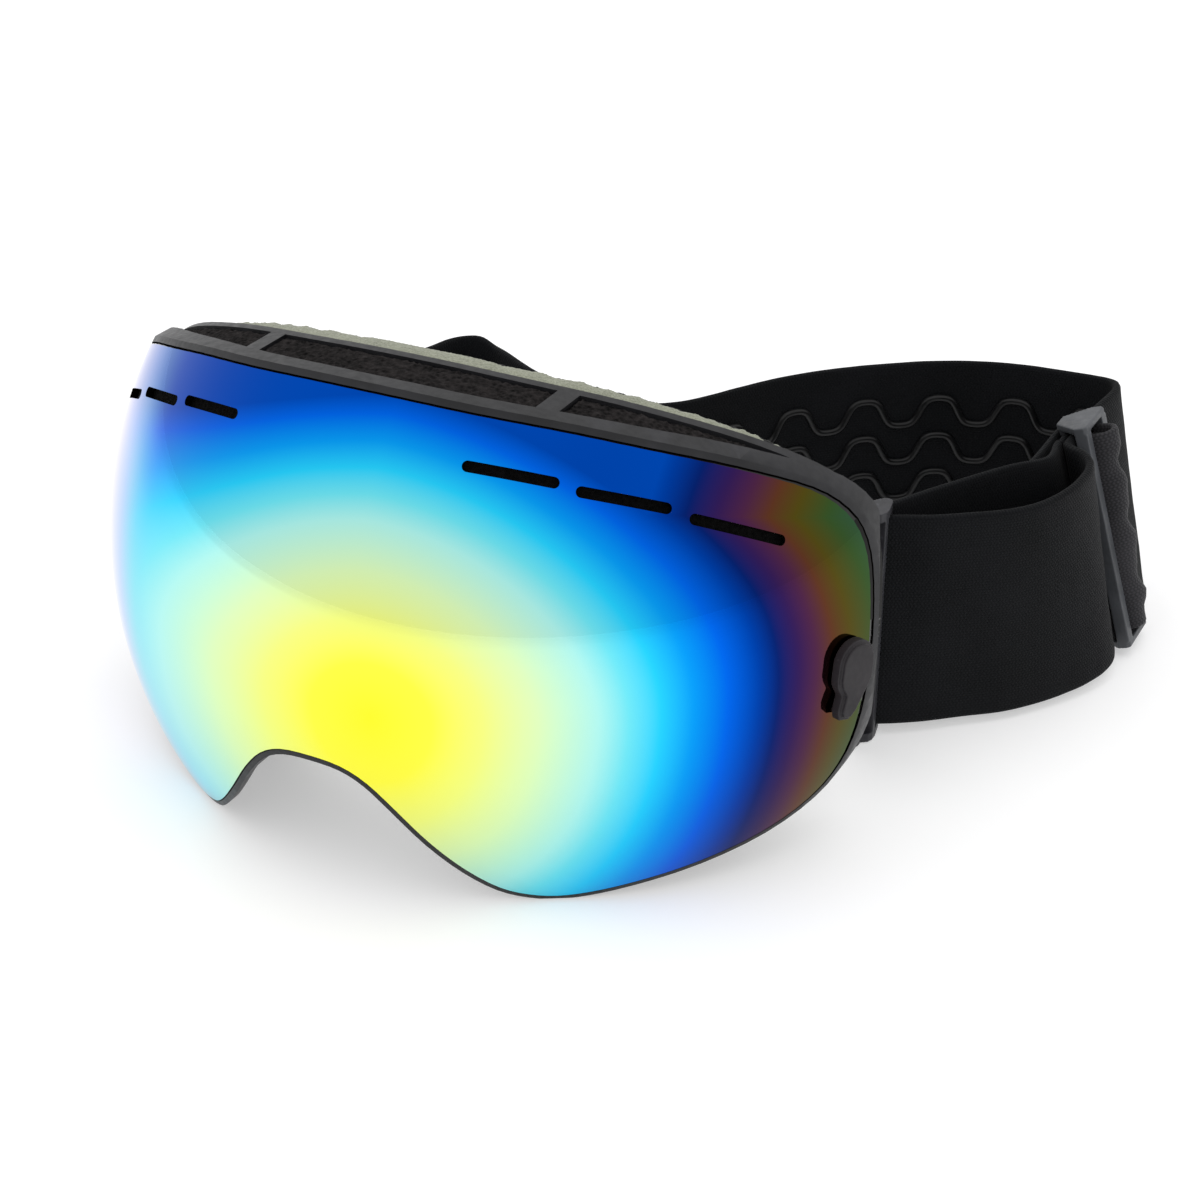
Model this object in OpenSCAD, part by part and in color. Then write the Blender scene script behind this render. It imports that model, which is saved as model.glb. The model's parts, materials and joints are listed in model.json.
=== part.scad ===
// Ski goggles with a spherical mirrored lens, swivelling strap buckles and an elastic strap.
// Millimetres, +Z up, lens towards -Y, wearer's left towards +X. Rests on Z = 0.

/* [Lens] */
// Radius of the outer lens's outer surface
lens_radius = 91; // [86:0.5:98]
// Thickness of the outer lens
lens_thickness = 1.6; // [1.2:0.1:2.5]
// Thickness of the inner lens
inner_lens_thickness = 1.2; // [0.8:0.1:2]
// Air gap between the two lenses
lens_gap = 3.4; // [2:0.1:5]
// Width of each vent slot in the outer lens
slot_width = 2.1; // [1.5:0.1:3]
// Height of the lens sphere's centre above the resting surface
lens_lift = 38.7; // [38:0.05:42]

/* [Frame] */
// How far the rim stands outside the lens edge
rim_proud = 1.3; // [0.8:0.1:3]
// Width of the rim at the temples as a share of its width elsewhere
rim_narrow = 0.9932; // [0.99:0.0001:1]
// Black gap between the lens edge and the rim
rim_gap = 0.25; // [0.2:0.05:0.4]
// Depth of the rim shell behind the lens surface
rim_depth = 2.8; // [2.6:0.1:6]
// Greatest depth of the rim from front to back
rim_reach = 5.2; // [5:0.1:9]
// Thickness of the chassis wall
wall_thickness = 2.4; // [1.5:0.1:4]
// How far the chassis wall is set in from the lens edge
wall_inset = 0.6; // [0:0.1:2]
// Thickness of the flange that carries the face foam
flange_thickness = 1.6; // [1.4:0.1:3]
// Width of that flange
flange_width = 9.4; // [7:0.1:14]
// Half width of the centre top vent
centre_vent_half = 30; // [22:1:32]
// Width of the ribs between the top vents
vent_rib = 4; // [2:0.5:8]
// Half width reached by the outer ends of the side vents
side_vent_end = 79; // [60:1:79]

/* [Face foam] */
// Radius of the face side of the foam, seen from above
face_radius = 106; // [90:1:125]
// Lean of the face side, chin end forwards
face_lean = 4; // [0:0.5:8]
// Thickness of the foam
foam_thickness = 6.4; // [5:0.1:14]
// Thickness of the fleece on the foam
fleece_thickness = 1.3; // [1:0.1:3]
// How far the fleece is set in from the edge of the foam
fleece_inset = 1.2; // [0:0.1:2]
// Width of the foam ring
foam_width = 12; // [9:0.5:16]
// How far the foam is set in from the lens outline
foam_inset = 1.3; // [0.5:0.1:4]
// Half width of the foam at the temples
foam_half = 73; // [68:0.5:78]

/* [Latch] */
// Radius of the latch head
latch_head = 4.7; // [4:0.1:7]
// Thickness of the latch
latch_thickness = 2.6; // [1.5:0.1:4]
// Radius of the latch stem
latch_stem_radius = 1.5; // [1:0.1:2.5]

/* [Strap] */
// Width of the elastic webbing
strap_width = 50; // [40:1:55]
// Thickness of the elastic webbing
strap_thickness = 1.8; // [1.2:0.1:2.5]
// Thickness of the folded end webbing
hem_thickness = 1.4; // [1:0.1:2]
// Rows of silicone grip waves
grip_rows = 4; // [1:1:4]
// Length of one grip wave
grip_pitch = 18.5; // [10:0.5:25]
// Spacing of the rows of waves
grip_spacing = 9.7; // [8:0.1:12]

/* [Buckles and adjuster] */
// Radius of the buckle pin
pin_radius = 1.2; // [0.8:0.1:2]
// Running clearance, on the radius, of the pins and stems
running_gap = 0.05; // [0.02:0.01:0.1]
// Radius of the buckle's strap bar
bar_radius = 1.3; // [1:0.1:2]
// Length of the adjuster along the strap
adjuster_length = 14; // [13:1:28]
// Lean of the adjuster, foot outwards
adjuster_lean = 17; // [0:1:20]

/* [Hidden] */
$fn = 48;
box_mid = [14.29, 10.48];
rim_dark = [0.20, 0.20, 0.215];
plastic_dark = [0.17, 0.165, 0.175];
foam_dark = [0.12, 0.12, 0.12];
foam_light = [0.60, 0.61, 0.54];
fleece_dark = [0.14, 0.14, 0.14];
strap_black = [0.05, 0.05, 0.055];
grip_black = [0.09, 0.09, 0.09];

// Right half of the lens outline seen from the front, from the top centre round to the nose.
half_outline = [
    [0, 59], [15, 58.4], [32, 56.4], [45, 53.7], [58, 49.5], [67.5, 45], [75, 39.8], [80, 33.9],
    [83.2, 27.2], [85.2, 19], [86.3, 9], [86.3, -1], [85.3, -10], [83.2, -17.6], [79.6, -23.6],
    [73.5, -28.4], [64.5, -32.2], [54, -35.3], [47, -37], [42, -37.6], [37.5, -37], [33, -35],
    [28, -30.2], [22.5, -23.4], [17, -15.9], [12, -10.5], [6.7, -7.7], [0, -7]
];
outline_corners = concat(half_outline, [for (i = [len(half_outline) - 2 : -1 : 1])
    [-half_outline[i][0], half_outline[i][1]]]);

// One point of a Catmull-Rom curve through b and c.
function spline_point(a, b, c, d, t) =
    0.5 * (2 * b + (c - a) * t + (2 * a - 5 * b + 4 * c - d) * t * t + (3 * b - 3 * c + d - a) * t * t * t);
function closed_curve(p, n) = [for (i = [0 : len(p) - 1]) for (j = [0 : n - 1])
    spline_point(p[(i + len(p) - 1) % len(p)], p[i], p[(i + 1) % len(p)], p[(i + 2) % len(p)], j / n)];
function open_curve(p, n) = concat([for (i = [0 : len(p) - 2]) for (j = [0 : n - 1])
    spline_point(p[max(i - 1, 0)], p[i], p[i + 1], p[min(i + 2, len(p) - 1)], j / n)], [p[len(p) - 1]]);

lens_outline = closed_curve(outline_corners, 3);

// Face cylinder and the layers stacked on it, as radii.
face_axis_y = -40.6 + face_radius;
face_axis_z = 57;
fleece_outer = face_radius + fleece_thickness;
foam_inner = fleece_outer + 0.1;
foam_outer = foam_inner + foam_thickness;
flange_inner = foam_outer + 0.1;
flange_outer = flange_inner + flange_thickness;
pocket_radius = lens_radius - lens_thickness - 0.1;
inner_lens_outer = lens_radius - lens_thickness - lens_gap;
inner_lens_inset = 11.2;

// Lens slots: [azimuth, elevation, length, tilt].
slots = [[25.1, 32.65, 17.7, -9.8], [39.85, 29.25, 17.7, -16.1], [54.5, 23.85, 20, -23.9]];
slot_filter_width = 4.8;

// Latch pivot on the lens, as azimuth and elevation.
latch_azimuth = 68.4;
latch_elevation = 3.1;
latch_rest_turn = -10;
latch_lift = 0.3;
latch_chamfer = 0.7;
latch_boss_radius = 3.6;
latch_boss_depth = 6;
latch_foot_radius = 2.3;

// Buckle geometry, seen from above, relative to the sphere centre.
hinge_at = [70, 7.6];
bar_at = [72.6, 16];
ear_low = -38.4;
ear_top = 15.9;
ear_thickness = 2;
slot_in_buckle = [70.9, 72.1];
barrel_radius = 2.6;
arm_thickness = 2.4;
knob_radius = 2.1;
knob_offset = [-3.1, -0.5];

// Strap path on each side. A stop is [top x, top y, bottom x, bottom y, bottom z].
strap_low = -36.3;
strap_lifted = -35.2;
strap_rest = -38.5;
lean_shift = strap_width * sin(adjuster_lean);
right_heading = 90;
right_slide = [94.75, 77.5];
left_heading = 12;
left_seam = [-72, 38.3];
function right_stop(s, y) = let(p = right_slide + s * [cos(right_heading), sin(right_heading)]
        + y * [-sin(right_heading), cos(right_heading)])
    [p[0], p[1], p[0] + lean_shift * sin(right_heading), p[1] - lean_shift * cos(right_heading), strap_lifted];
function left_stop(s, y) = let(p = left_seam + s * [cos(left_heading), sin(left_heading)]
        + y * [sin(left_heading), -cos(left_heading)]) [p[0], p[1], p[0], p[1], strap_low];
function upright(p, z) = [for (q = p) [q[0], q[1], q[0], q[1], z]];

strap_stops = concat(
    [[76.8, 15.7, 77.2, 16, -36.3], [82, 18.6, 82.6, 20, -36.4], [88, 23.4, 89, 25.9, -36.6],
     [93.5, 28.4, 95.9, 32, -36.8], [97.9, 33.9, 101, 38.3, -36.9], [100.8, 39.6, 105, 44.2, -36.8],
     [102.7, 46, 108.4, 50, -36.5], [103.4, 53, 110.8, 56, -36.1], [102.6, 59.5, 111.6, 61, -35.7],
     [99.7, 63.7, 110.9, 65, -35.3], [96.6, 66.2, 110.4, 66.6, -35.2]],
    [for (s = [-9, -7.4, 0, 11, 14]) right_stop(s, 0)],
    [[95.6, 97.2, 108.6, 96.4, -35.4], [95.9, 102, 107.6, 100.6, -35.6], [95.2, 105.2, 104.2, 106.4, -36.2],
     [92.9, 107.6, 99.2, 109.9, -37], [89, 109, 92.6, 111, -37.8], [84, 109.8, 85.6, 110.8, -38.4],
     [78.1, 109.5, 78.6, 109.8, -38.5]],
    upright([[72, 108.8], [66.4, 107.6], [60.5, 105.6], [55.4, 103.2], [50, 100.1], [45.2, 96.7], [37.4, 90.4],
        [30.1, 83.2], [23.4, 75], [17.5, 65.6], [13.5, 58.5], [9.5, 52.6], [4, 48], [-4, 45.3], [-13, 45.5],
        [-22, 48], [-30, 52], [-36.5, 55.8], [-42, 59.3], [-46.3, 61.6]], strap_rest),
    upright([[-50.4, 62.3], [-54, 60.9], [-56.4, 57.2], [-57.8, 52], [-59.6, 46.8], [-62.4, 42.4]], -37.2),
    [for (s = [6, 0, -6]) left_stop(s, 0)],
    upright([[-82.8, 34.8], [-86.3, 30.6], [-86.8, 25.2], [-83, 19.6], [-76.8, 15.7]], strap_low));

right_return_stops = [[72.6, 21, 72.6, 21, -36.3], [77.6, 30.6, 78.2, 30.7, -36.3], [83, 40, 84.6, 40.2, -36.2],
    [88, 48.4, 92.4, 47.4, -36], [91.6, 54.4, 101, 52.6, -35.8], [93.4, 58.8, 106.2, 57.2, -35.6],
    [93.5, 62.8, 107.6, 62, -35.4], [92.9, 66, 107.5, 65.8, -35.3],
    right_stop(-9, 1.95)];
left_return_stops = concat(upright([[-72.6, 21], [-74.8, 26], [-76.9, 30.2], [-77.6, 32.9],
    [-76.2, 35]], strap_low), [for (s = [-1, 2, 6]) left_stop(s, 2)]);

// Webbing between a top and a bottom edge, as one closed solid.
function edge_top(q) = let(d = norm([q[0] - q[2], q[1] - q[3]]))
    [q[0], q[1], q[4] + sqrt(strap_width * strap_width - d * d)];
function edge_low(q) = [q[2], q[3], q[4]];
function unit(v) = v / norm(v);
function along(c, i) = let(a = c[max(i - 1, 0)], b = c[min(i + 1, len(c) - 1)])
    unit(edge_top(b) + edge_low(b) - edge_top(a) - edge_low(a));
function face_normal(c, i) = unit(cross(edge_top(c[i]) - edge_low(c[i]), along(c, i)));
function webbing_ring(c, i, t) = let(n = face_normal(c, i) * t / 2)
    [edge_top(c[i]) + n, edge_top(c[i]) - n, edge_low(c[i]) - n, edge_low(c[i]) + n];
function tube_faces(rings, k) = concat(
    [for (i = [0 : rings - 2]) for (j = [0 : k - 1])
        let(a = i * k + j, b = i * k + (j + 1) % k) each [[a, b + k, b], [a, a + k, b + k]]],
    [for (j = [1 : k - 2]) [0, j, j + 1]],
    [for (j = [1 : k - 2]) [(rings - 1) * k, (rings - 1) * k + j + 1, (rings - 1) * k + j]]);

strap_curve = open_curve(strap_stops, 3);

// Grip waves run along the inner face of the strap's back stretch.
grip_first = 61;
grip_zero = 63;
grip_last = 100;
grip_steps = 2;
grip_phase = 14.1;
grip_top_row = 37.4;
grip_wave = 3.4;
grip_curve = [for (i = [grip_first : grip_last - 1]) for (j = [0 : grip_steps - 1])
    strap_curve[i] + (strap_curve[i + 1] - strap_curve[i]) * j / grip_steps];

function flat_strip(p, t) = let(n = len(p), side = [for (i = [0 : n - 1])
        let(d = unit(p[min(i + 1, n - 1)] - p[max(i - 1, 0)])) [-d[1], d[0]] * t / 2])
    concat([for (i = [0 : n - 1]) p[i] + side[i]], [for (i = [n - 1 : -1 : 0]) p[i] - side[i]]);

module place() { translate([-box_mid[0], -box_mid[1], lens_lift]) children(); }
module on_left() { mirror([1, 0, 0]) children(); }

// Front-view outline grown by d, as a prism from the mid plane forwards or over the whole depth.
module outline_prism(d, front = -100, back = 20)
    translate([0, back, 0]) rotate([90, 0, 0]) linear_extrude(height = back - front)
        offset(delta = d) polygon(lens_outline);
module outline_ring(outer, inner) {
    difference() {
        outline_prism(outer);
        outline_prism(inner, -101, 21);
    }
}
// The same for the face foam, which is narrower at the temples.
module foam_prism(d, front = -100, back = 20)
    translate([0, back, 0]) rotate([90, 0, 0]) linear_extrude(height = back - front)
        offset(delta = d - foam_inset) scale([0.935, 1]) polygon(lens_outline);
// The rim's outer edge, a little closer to the lens at the temples.
module rim_prism() translate([0, 20, 0]) rotate([90, 0, 0]) linear_extrude(height = 120)
    scale([rim_narrow, 1]) offset(delta = rim_proud) polygon(lens_outline);
// Space outside the frame's swept-in temple side.
module temple_cut() linear_extrude(height = 160, center = true)
    polygon([[88.2, -26.5], [87.2, -25], [70.4, 7], [70.4, 60], [120, 60], [120, -26.5]]);
module ball(r) { sphere(r = r, $fn = 200); }
module face_cylinder(r)
    translate([0, face_axis_y, face_axis_z]) rotate([-face_lean, 0, 0])
        cylinder(h = 320, r = r, center = true, $fn = 240);
module face_layer(outer, inner) {
    difference() {
        face_cylinder(outer);
        face_cylinder(inner);
    }
}
module slab(x0, x1, z0, z1) translate([x0, -100, z0]) cube([x1 - x0, 120, z1 - z0]);
module on_sphere(azimuth, elevation, r)
    rotate([0, 0, azimuth]) rotate([-elevation, 0, 0]) translate([0, -r, 0]) rotate([90, 0, 0]) children();

// Space of one vent between the rim and the flange, shrunk by gap.
module vent_space(x0, x1, z0, z1, outer, inner, gap) {
    difference() {
        intersection() {
            outline_ring(outer, inner);
            ball(lens_radius - rim_depth - 0.4 - gap);
            slab(x0 + gap, x1 - gap, z0, z1);
        }
        face_cylinder(flange_outer + 0.4 + gap);
    }
}
module top_vents(outer, inner, gap) {
    vent_space(-centre_vent_half, centre_vent_half, 20, 70, outer, inner, gap);
    vent_space(centre_vent_half + vent_rib, side_vent_end, 20, 70, outer, inner, gap);
    on_left() vent_space(centre_vent_half + vent_rib, side_vent_end, 20, 70, outer, inner, gap);
}
module bottom_vents(outer, inner, gap) {
    vent_space(46, 64, -45, -24, outer, inner, gap);
    on_left() vent_space(46, 64, -45, -24, outer, inner, gap);
}

module at_latch(r) on_sphere(latch_azimuth, latch_elevation, r) children();
module latch_boss() at_latch(lens_radius - latch_boss_depth - 1) cylinder(h = 5, r = latch_boss_radius);
module latch_bore() {
    at_latch(70) cylinder(h = 30, r = latch_stem_radius + running_gap);
    at_latch(80) cylinder(h = lens_radius - latch_boss_depth - 81, r = latch_foot_radius + 0.2);
}

module frame() color(rim_dark) {
    difference() {
        union() {
            difference() {
                union() {
                    difference() {
                        intersection() {
                            rim_prism();
                            ball(lens_radius - 0.15);
                        }
                        outline_prism(-4, -101, 21);
                        ball(lens_radius - rim_depth);
                        translate([0, rim_reach, 0]) ball(lens_radius - 0.15);
                    }
                    intersection() {
                        outline_ring(-wall_inset, -wall_inset - wall_thickness);
                        ball(pocket_radius);
                    }
                    intersection() {
                        difference() {
                            outline_prism(-wall_inset);
                            foam_prism(-flange_width, -101, 21);
                        }
                        face_layer(flange_outer, flange_inner);
                    }
                }
                face_cylinder(flange_inner);
                top_vents(3, -9, 0);
                bottom_vents(3, -9, 0);
            }
            latch_boss();
        }
        intersection() {
            outline_prism(rim_gap);
            difference() {
                ball(lens_radius + 5);
                ball(pocket_radius);
            }
        }
        latch_bore();
        screw_holes();
        on_left() screw_holes();
        temple_cut();
        on_left() temple_cut();
        translate([-60, -100, -60]) cube([120, 100, 60 - lens_lift]);
    }
}

module slot_shape(length, width) hull() {
    translate([-(length - width) / 2, 0]) circle(d = width);
    translate([(length - width) / 2, 0]) circle(d = width);
}
module slot_tool(extra, width, r, height)
    for (s = slots) on_sphere(s[0], s[1], r) rotate([0, 0, s[3]])
        linear_extrude(height = height) slot_shape(s[2] + extra, width);
module lens_notch() at_latch(lens_radius - 5) {
    cylinder(h = 10, r = latch_stem_radius + 0.4);
    translate([0, -latch_stem_radius - 0.4, 0]) cube([12, 2 * latch_stem_radius + 0.8, 10]);
}
module outer_lens() color([0.25, 0.55, 0.85]) difference() {
    intersection() {
        difference() {
            ball(lens_radius);
            ball(lens_radius - lens_thickness);
        }
        outline_prism(0, -100, 0);
    }
    slot_tool(0, slot_width, lens_radius - 8, 12);
    on_left() slot_tool(0, slot_width, lens_radius - 8, 12);
    lens_notch();
}
module inner_lens() color([0.45, 0.42, 0.38]) intersection() {
    difference() {
        ball(inner_lens_outer);
        ball(inner_lens_outer - inner_lens_thickness);
    }
    outline_prism(-inner_lens_inset, -100, 0);
}
module lens_gasket() color(foam_dark) intersection() {
    difference() {
        ball(lens_radius - lens_thickness - 0.05);
        ball(inner_lens_outer + 0.05);
    }
    difference() {
        outline_prism(-inner_lens_inset - 0.3, -100, 0);
        outline_prism(-inner_lens_inset - 3.3, -101, 1);
    }
}
module slot_filters() color(foam_dark) {
    intersection() {
        difference() {
            ball(lens_radius - lens_thickness - 0.05);
            ball(lens_radius - lens_thickness - 1.65);
        }
        union() {
            slot_tool(3, slot_filter_width, lens_radius - 8, 12);
            on_left() slot_tool(3, slot_filter_width, lens_radius - 8, 12);
        }
    }
}
module top_vent_foam() color(foam_dark) top_vents(-1, -6.5, 0.15);
module bottom_vent_foam() color(foam_dark) bottom_vents(-1, -6.5, 0.15);

module foam_ring(outer, inner, half, width, inset = 0) {
    intersection() {
        difference() {
            foam_prism(-inset);
            intersection() {
                foam_prism(-width, -101, 21);
                translate([-half + width - 1, -110, -100]) cube([2 * (half - width + 1), 140, 200]);
            }
        }
        face_layer(outer, inner);
        translate([-half, -110, -100]) cube([2 * half, 140, 200]);
    }
}
module face_foam() color(foam_light) foam_ring(foam_outer, foam_inner, foam_half, foam_width);
module face_fleece() color(fleece_dark) foam_ring(fleece_outer, face_radius, foam_half + 0.3, foam_width, fleece_inset);

// Rigid arm from the temple back to the buckle hinge.
arm_path = open_curve([[80.8, -19.4], [76.7, -11], [73.6, -4.5], [71.4, 1.2], [70.4, 4.9], [70, 6.8]], 3);
arm_side = [[-25, -10], [-12, -13], [-2, -22], [3, -28], [12, -28], [12, 8], [3, 8.5], [-8, 10.5], [-25, 10]];
screw_at = [[79.6, 6.2], [79.6, -6.2]];
module screw_holes()
    for (s = screw_at) translate([s[0], 0, s[1]]) rotate([90, 0, 0]) cylinder(h = 26, r = 0.9);
module arm() {
    difference() {
        union() {
            intersection() {
                union() {
                    intersection() {
                        translate([0, 0, -40]) linear_extrude(height = 70)
                            polygon(flat_strip(arm_path, arm_thickness));
                        translate([60, 0, 0]) rotate([90, 0, 90]) linear_extrude(height = 40) polygon(arm_side);
                    }
                    translate([77.4, -27, -10]) cube([4.4, 10, 20]);
                }
                face_cylinder(flange_inner - 0.1);
            }
            translate([hinge_at[0], hinge_at[1], ear_low + ear_thickness + 0.3])
                cylinder(h = ear_top - ear_low - 2 * ear_thickness - 0.6, r = barrel_radius);
        }
        translate([hinge_at[0], hinge_at[1], -60]) cylinder(h = 120, r = pin_radius);
        screw_holes();
        for (s = screw_at) translate([s[0], -8, s[1]]) rotate([90, 0, 0]) cylinder(h = 9, r = 2);
    }
}
module arm_right() color(rim_dark) arm();
module arm_left() color(rim_dark) on_left() arm();
module arm_screw_pair()
    for (s = screw_at) translate([s[0], -17, s[1]]) rotate([90, 0, 0]) {
        cylinder(h = 8, r = 0.85);
        translate([0, 0, -1.1]) cylinder(h = 1.1, r = 1.7);
    }
module arm_screws() color(plastic_dark) {
    arm_screw_pair();
    on_left() arm_screw_pair();
}

// Swivel buckle: front plate, two ears, strap bar.
module ear() {
    union() {
        translate(hinge_at) circle(r = 3);
        polygon([[68.6, 5.2], [74.2, 9.4], [74.7, 10.7], [74.7, 12.3], [73.9, 16.2], [71.2, 16.6], [68.4, 12.4],
            [67.2, 8.6]]);
        translate(bar_at) circle(r = bar_radius);
    }
}
module buckle() {
    difference() {
        union() {
            for (z = [ear_low, ear_top - ear_thickness]) translate([0, 0, z])
                linear_extrude(height = ear_thickness) ear();
            translate([0, 0, ear_low]) linear_extrude(height = ear_top - ear_low)
                polygon([[68.4, 10.7], [74.7, 10.7], [74.7, 12.3], [68.4, 12.3]]);
            translate([bar_at[0], bar_at[1], ear_low]) cylinder(h = ear_top - ear_low, r = bar_radius);
        }
        translate([hinge_at[0], hinge_at[1], -60]) cylinder(h = 120, r = pin_radius + running_gap);
        translate([0, 14, 0]) rotate([90, 0, 0]) linear_extrude(height = 5)
            polygon([[slot_in_buckle[0], 12.6], [slot_in_buckle[1], 12.6], [slot_in_buckle[1], 0],
                [(slot_in_buckle[0] + slot_in_buckle[1]) / 2, -6], [slot_in_buckle[0], 0]]);
    }
}
module buckle_right() color(rim_dark) buckle();
module buckle_left() color(rim_dark) on_left() buckle();

module buckle_pin() {
    translate([hinge_at[0], hinge_at[1], 0]) {
        translate([0, 0, ear_low + 0.1]) cylinder(h = ear_top - ear_low + 0.3, r = pin_radius);
        translate([0, 0, ear_top + 0.15]) linear_extrude(height = 0.7) union() {
            circle(r = 1.9);
            translate(knob_offset) circle(r = 1.9);
            translate([-3.2, -2]) square([3.2, 3.4]);
        }
        for (p = [[0, 0], knob_offset]) translate([p[0], p[1], ear_top + 0.8]) {
            cylinder(h = 1.6, r = knob_radius, $fn = 8);
            translate([0, 0, 1.6]) cylinder(h = 0.5, r = knob_radius * 0.8, $fn = 8);
        }
    }
}
module buckle_pin_right() color(plastic_dark) buckle_pin();
module buckle_pin_left() color(plastic_dark) on_left() buckle_pin();

// Latch seen along its stem: x runs back round the temple, y up.
module latch_outline() rotate([0, 0, latch_rest_turn]) {
    translate([0, 1.6]) circle(r = latch_head);
    translate([0, -0.8]) circle(r = latch_head);
    translate([-latch_head, -0.8]) square([2 * latch_head, 2.4]);
    polygon([[-4.3, -2.6], [4.3, -2.6], [1.4, -8.1], [-0.2, -9.8], [-2.8, -9.6], [-3.4, -7.9], [-2.9, -4.8]]);
}
module latch() color(plastic_dark) at_latch(lens_radius + latch_lift) {
    linear_extrude(height = latch_thickness - latch_chamfer) latch_outline();
    translate([0, 0, latch_thickness - latch_chamfer]) linear_extrude(height = latch_chamfer)
        offset(delta = -latch_chamfer) latch_outline();
}
module latch_stem() color(plastic_dark) at_latch(lens_radius - latch_boss_depth - 2.2) {
    cylinder(h = latch_boss_depth + 2.2 + latch_lift - 0.05, r = latch_stem_radius);
    cylinder(h = 0.9, r = latch_foot_radius);
}

module webbing(stops, t) {
    curve = open_curve(stops, 3);
    polyhedron(points = [for (i = [0 : len(curve) - 1]) each webbing_ring(curve, i, t)],
        faces = tube_faces(len(curve), 4));
}
module strap_band() color(strap_black) webbing(strap_stops, strap_thickness);
module strap_return_right() color(strap_black) webbing(right_return_stops, hem_thickness);
module strap_return_left() color(strap_black) webbing(left_return_stops, hem_thickness);

// Webbing round the buckle bar, with a short tail towards each layer.
wrap_radius = bar_radius + 0.1 + strap_thickness / 2;
outer_tail = 29.5;
inner_tail = 62.7;
wrap_path = concat([bar_at + wrap_radius * [sin(outer_tail), -cos(outer_tail)]
        + 2.6 * [cos(outer_tail), sin(outer_tail)]],
    [for (i = [0 : 12]) let(a = (outer_tail - 90) + (inner_tail - outer_tail - 180) * i / 12)
        bar_at + wrap_radius * [cos(a), sin(a)]],
    [bar_at + wrap_radius * [-sin(inner_tail), cos(inner_tail)] + 3.2 * [cos(inner_tail), sin(inner_tail)]]);
module strap_wrap() translate([0, 0, strap_low]) linear_extrude(height = strap_width)
    polygon(flat_strip(wrap_path, strap_thickness));
module strap_wrap_right() color(strap_black) strap_wrap();
module strap_wrap_left() color(strap_black) on_left() strap_wrap();

// Adjuster frame of reference: x along the strap away from the buckle, y towards the wearer, z up.
module at_adjuster()
    translate([right_slide[0], right_slide[1], strap_lifted + strap_width * cos(adjuster_lean)])
        rotate([0, 0, right_heading]) rotate([-adjuster_lean, 0, 0])
            translate([0, 0, -strap_width / 2]) children();
module at_left_seam()
    translate([left_seam[0], left_seam[1], strap_low + strap_width / 2])
        rotate([0, 0, left_heading]) mirror([0, 1, 0]) children();
half_length = adjuster_length / 2;
bar_width = 3;
outer_face = -4.2;
outer_bar_inner = -1.3;
middle_bar = [2.75, 4.15];
rail_inside = strap_width / 2 + 0.4;
rail_thickness = 1.5;
module upright_bar(x0, x1, y0, y1)
    translate([x0, y0, -rail_inside]) cube([x1 - x0, y1 - y0, 2 * rail_inside]);
module adjuster() color(rim_dark) at_adjuster() {
    upright_bar(-half_length, -half_length + bar_width, outer_face, outer_bar_inner);
    upright_bar(half_length - bar_width, half_length, outer_face, outer_bar_inner);
    upright_bar(-bar_width / 2, bar_width / 2, middle_bar[0], middle_bar[1]);
    for (z = [-rail_inside - rail_thickness, rail_inside]) translate([0, 0, z])
        linear_extrude(height = rail_thickness) polygon([[-half_length + 0.7, outer_face],
            [half_length - 0.7, outer_face], [half_length, outer_face + 0.7], [half_length, outer_bar_inner],
            [2.4, middle_bar[1]], [-2.4, middle_bar[1]], [-half_length, outer_bar_inner],
            [-half_length, outer_face + 0.7]]);
}

hem_layer = 1.95;
hem_inner = middle_bar[1] + 0.05 + hem_thickness / 2;
hem_bend = (hem_inner - hem_layer) / 2;
hem_path = concat([[-8.2, hem_layer]],
    [for (a = [-90 : 15 : 90]) [bar_width / 2 + hem_bend * cos(a), hem_layer + hem_bend + hem_bend * sin(a)]],
    [[-10, hem_inner], [-18.5, hem_inner]]);
module strap_hem() color(strap_black) at_adjuster() translate([0, 0, -strap_width / 2 + 0.1])
    linear_extrude(height = strap_width - 0.2) polygon(flat_strip(hem_path, hem_thickness));

fold_half = half_length - bar_width - 0.2 - hem_thickness / 2;
fold_path = [[-fold_half, -1.9], [-fold_half, -4], [-fold_half + 0.7, -6], [-fold_half + 2.2, -7],
    [fold_half - 2.2, -7], [fold_half - 0.7, -6], [fold_half, -4], [fold_half, -1.9]];
module strap_fold() color(strap_black) at_adjuster() translate([0, 0, -strap_width / 2 + 1])
    linear_extrude(height = strap_width - 2) polygon(flat_strip(open_curve(fold_path, 3), hem_thickness));

// Silicone bead in a zigzag, as a low four-sided tube on the strap's inner face.
grip_half = 0.75;
grip_proud = 0.6;
function run(c, i) = i == 0 ? 0 : run(c, i - 1) + norm([c[i][0] - c[i - 1][0], c[i][1] - c[i - 1][1]]);
function grip_height(row, d) = grip_top_row - row * grip_spacing
    + grip_wave * cos(360 * (d - grip_phase) / grip_pitch);
grip_start = (grip_zero - grip_first) * grip_steps;
grip_runs = [for (i = [0 : len(grip_curve) - 1]) run(grip_curve, i) - run(grip_curve, grip_start)];
function grip_centre(i, row) = let(q = grip_curve[i])
    edge_low(q) + unit(edge_top(q) - edge_low(q)) * grip_height(row, grip_runs[i])
        + face_normal(grip_curve, i) * grip_side * (strap_thickness / 2 + 0.03);
grip_side = 1;
function grip_ring(i, row) = let(c = grip_centre(i, row), a = grip_centre(max(i - 1, 0), row),
        b = grip_centre(min(i + 1, len(grip_curve) - 1), row), n = face_normal(grip_curve, i) * grip_side,
        w = unit(cross(n, b - a)))
    [c - w * grip_half, c + w * grip_half, c + w * grip_half * 0.5 + n * grip_proud,
     c - w * grip_half * 0.5 + n * grip_proud];
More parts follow.
